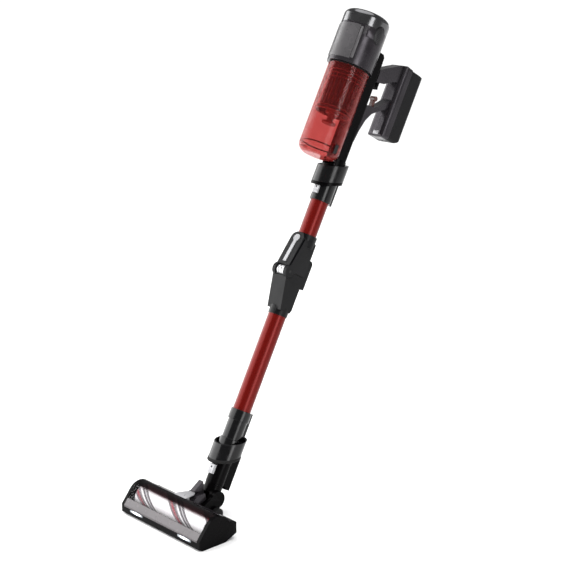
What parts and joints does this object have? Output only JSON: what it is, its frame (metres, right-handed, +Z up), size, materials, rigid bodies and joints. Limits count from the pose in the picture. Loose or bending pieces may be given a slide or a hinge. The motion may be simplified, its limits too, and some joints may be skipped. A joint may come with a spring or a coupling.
{
  "type": "cordless stick vacuum cleaner",
  "caption": "Cordless stick vacuum cleaner with a clear cyclone bin, loop handle with slide-off battery, folding wand and motorised soft-roller floor head on a swivelling neck.",
  "frame": {"origin": "middle of the hand grip, on the machine's plane of symmetry; the floor under the head is 0.7896 m below it", "axes": "+X along the floor head to the machine's right, -Y the way the head drives, +Z up; the wand leans back 28.4 degrees at rest, in the YZ plane"},
  "size_m": [0.25, 0.7266, 1.0032],
  "materials": {
    "gloss_black": "glossy moulded plastic",
    "satin_black": "fine-textured moulded plastic",
    "graphite": "satin metallic moulding",
    "panel_grey": "satin lacquered panel",
    "smoke": "glossy smoked moulding",
    "clear_smoke": "clear smoked polycarbonate",
    "red_clear": "clear red polycarbonate",
    "red_anodised": "red anodised, satin",
    "pale_key": "satin silver button",
    "dark_red_key": "glossy button",
    "cyclone_red": "dark red moulding",
    "soft_seal": "soft rubber",
    "filter_cloth": "pleated filter cloth",
    "pile": "soft nylon pile in stripes",
    "bright_alloy": "bare alloy",
    "screw_steel": "zinc plated",
    "dark_steel": "blackened steel",
    "circuit_green": "solder-masked board",
    "cell_wrap": "shrink-wrapped cells",
    "lamp": "frosted light window"
  },
  "bodies": {
    "hand_unit": {"motor_housing": "graphite", "front_panel": "panel_grey", "exhaust_cap": "smoke", "exhaust_filter": "filter_cloth", "pre_motor_filter": "filter_cloth", "suction_motor": "bright_alloy", "motor_mount": "soft_seal", "rear_spine": "gloss_black", "inlet_socket": "satin_black", "inlet_collar": "smoke", "handle_left": "graphite", "handle_right": "graphite", "battery_terminal": "satin_black", "control_board": "circuit_green", "handle_screws": "screw_steel"},
    "fan": {"impeller": "bright_alloy"},
    "trigger_lever": {"trigger": "gloss_black"},
    "mode_key": {"mode_button": "gloss_black"},
    "bin_release_key": {"bin_release": "dark_red_key"},
    "bin": {"dust_bin": "red_clear", "bin_seal": "soft_seal", "door_seal": "soft_seal", "cyclone_shroud": "graphite", "cyclone_cone": "cyclone_red"},
    "bin_lid": {"bin_door": "red_clear"},
    "lid_latch": {"door_latch": "smoke"},
    "battery": {"battery_case": "satin_black", "battery_cells": "cell_wrap"},
    "battery_key": {"battery_release": "graphite"},
    "upper_wand": {"upper_collar": "smoke", "upper_tube": "red_anodised", "flex_upper_yoke": "satin_black", "flex_pin": "dark_steel"},
    "wand_key": {"wand_latch": "pale_key"},
    "fold_key": {"flex_button": "pale_key"},
    "lower_wand": {"flex_lower_yoke": "satin_black", "flex_cover": "satin_black", "flex_hose": "soft_seal", "lower_tube": "red_anodised", "lower_collar": "smoke"},
    "neck_plug": {"neck_body": "gloss_black"},
    "neck_key": {"neck_latch": "pale_key"},
    "neck_swivel": {"neck_base": "gloss_black"},
    "head": {"head_base": "gloss_black", "head_cover": "graphite", "brush_window": "clear_smoke", "end_cap_left": "gloss_black", "end_cap_right": "gloss_black", "front_strip": "panel_grey", "led_strips": "lamp", "brush_motor": "bright_alloy", "head_screws": "screw_steel"},
    "window_key": {"window_release": "pale_key"},
    "brush_roll": {"brush_core": "satin_black", "brush_pile": "pile", "drive_dog": "screw_steel"},
    "wheel_left": {"rear_wheel_left": "soft_seal"},
    "wheel_right": {"rear_wheel_right": "soft_seal"}
  },
  "joints": [
    {"name": "fan_spin", "type": "hinge", "parent": "hand_unit", "child": "fan", "pos_m": [0, -0.11106, 0.10893], "axis": [0, 0.4756, 0.8796], "continuous": true},
    {"name": "trigger_pull", "type": "hinge", "parent": "hand_unit", "child": "trigger_lever", "pos_m": [0, -0.03155, 0.06253], "axis": [1, 0, 0], "range_deg": [0, 10], "stiffness_Nm_per_rad": 0.12, "springref_deg": -20.05},
    {"name": "mode_press", "type": "slide", "parent": "hand_unit", "child": "mode_key", "axis": [0, -0.8796, 0.4756], "range_m": [0, 0.0014], "stiffness_N_per_m": 600, "springref_m": -0.00167},
    {"name": "bin_release_press", "type": "slide", "parent": "hand_unit", "child": "bin_release_key", "axis": [0, -0.4756, -0.8796], "range_m": [0, 0.003], "stiffness_N_per_m": 600, "springref_m": -0.00167},
    {"name": "bin_slide", "type": "slide", "parent": "hand_unit", "child": "bin", "axis": [0, -0.8796, 0.4756], "range_m": [0, 0.12]},
    {"name": "bin_lid_swing", "type": "hinge", "parent": "bin", "child": "bin_lid", "pos_m": [-0.0475, -0.20618, -0.067], "axis": [0, 0.8796, -0.4756], "range_deg": [0, 100]},
    {"name": "lid_latch_lift", "type": "hinge", "parent": "bin", "child": "lid_latch", "pos_m": [0.0466, -0.2, -0.05556], "axis": [0, -0.8796, 0.4756], "range_deg": [0, 20], "stiffness_Nm_per_rad": 0.02, "springref_deg": -22.92},
    {"name": "battery_slide", "type": "slide", "parent": "hand_unit", "child": "battery", "axis": [0, -0.4756, -0.8796], "range_m": [0, 0.165]},
    {"name": "battery_release_press", "type": "slide", "parent": "battery", "child": "battery_key", "axis": [0, -0.8796, 0.4756], "range_m": [0, 0.0013], "stiffness_N_per_m": 600, "springref_m": -0.00167},
    {"name": "wand_slide", "type": "slide", "parent": "hand_unit", "child": "upper_wand", "axis": [0, -0.4756, -0.8796], "range_m": [0, 0.08]},
    {"name": "wand_latch_press", "type": "slide", "parent": "upper_wand", "child": "wand_key", "axis": [0, 0.8796, -0.4756], "range_m": [0, 0.0014], "stiffness_N_per_m": 600, "springref_m": -0.00167},
    {"name": "fold_button_press", "type": "slide", "parent": "upper_wand", "child": "fold_key", "axis": [0, 0.7727, -0.6347], "range_m": [0, 0.002], "stiffness_N_per_m": 600, "springref_m": -0.00167},
    {"name": "wand_fold", "type": "hinge", "parent": "upper_wand", "child": "lower_wand", "pos_m": [0, -0.30609, -0.30855], "axis": [-1, 0, 0], "range_deg": [0, 85], "deforming": ["flex_hose"]},
    {"name": "neck_slide", "type": "slide", "parent": "lower_wand", "child": "neck_plug", "axis": [0, -0.4756, -0.8796], "range_m": [0, 0.06]},
    {"name": "neck_latch_press", "type": "slide", "parent": "neck_plug", "child": "neck_key", "axis": [0, 0.8796, -0.4756], "range_m": [0, 0.0014], "stiffness_N_per_m": 600, "springref_m": -0.00167},
    {"name": "neck_turn", "type": "hinge", "parent": "neck_plug", "child": "neck_swivel", "pos_m": [0, -0.49937, -0.72698], "axis": [0, 0.4756, 0.8796], "range_deg": [-80, 80]},
    {"name": "neck_pitch", "type": "hinge", "parent": "neck_swivel", "child": "head", "pos_m": [0, -0.51269, -0.75161], "axis": [1, 0, 0], "range_deg": [-28, 50]},
    {"name": "window_release_slide", "type": "slide", "parent": "head", "child": "window_key", "axis": [1, 0, 0], "range_m": [0, 0.004]},
    {"name": "brush_spin", "type": "hinge", "parent": "head", "child": "brush_roll", "pos_m": [0, -0.59669, -0.76111], "axis": [1, 0, 0], "continuous": true},
    {"name": "wheel_left_spin", "type": "hinge", "parent": "head", "child": "wheel_left", "pos_m": [-0.03185, -0.51969, -0.77761], "axis": [1, 0, 0], "continuous": true},
    {"name": "wheel_right_spin", "type": "hinge", "parent": "head", "child": "wheel_right", "pos_m": [0.03185, -0.51969, -0.77761], "axis": [1, 0, 0], "continuous": true}
  ]
}
